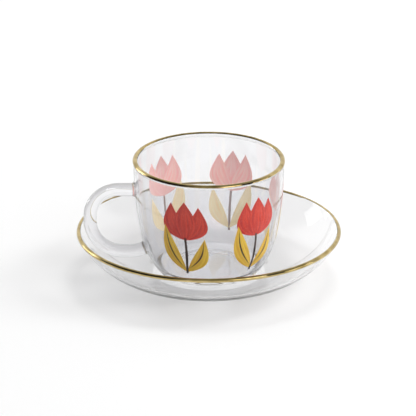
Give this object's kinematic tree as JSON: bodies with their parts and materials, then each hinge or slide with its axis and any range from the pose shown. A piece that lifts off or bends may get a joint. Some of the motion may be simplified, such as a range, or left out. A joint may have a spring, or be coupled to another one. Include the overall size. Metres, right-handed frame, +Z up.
{
  "type": "glass coffee cup and saucer",
  "caption": "Empty clear glass coffee cup with a bent glass rod handle and gilded lip, standing on a clear glass saucer with a gilded lip.",
  "frame": {"origin": "middle of the saucer's flat foot, on the surface it stands on", "axes": "+Z up along the axis shared by the cup and the saucer, handle towards -X, +Y to the back"},
  "size_m": [0.1206, 0.1206, 0.0565],
  "materials": {
    "glass": "clear, fire-polished",
    "gilding": "polished"
  },
  "bodies": {
    "root": {"saucer": "glass", "saucer_gilding": "gilding", "cup": "glass", "cup_gilding": "gilding"}
  },
  "joints": []
}
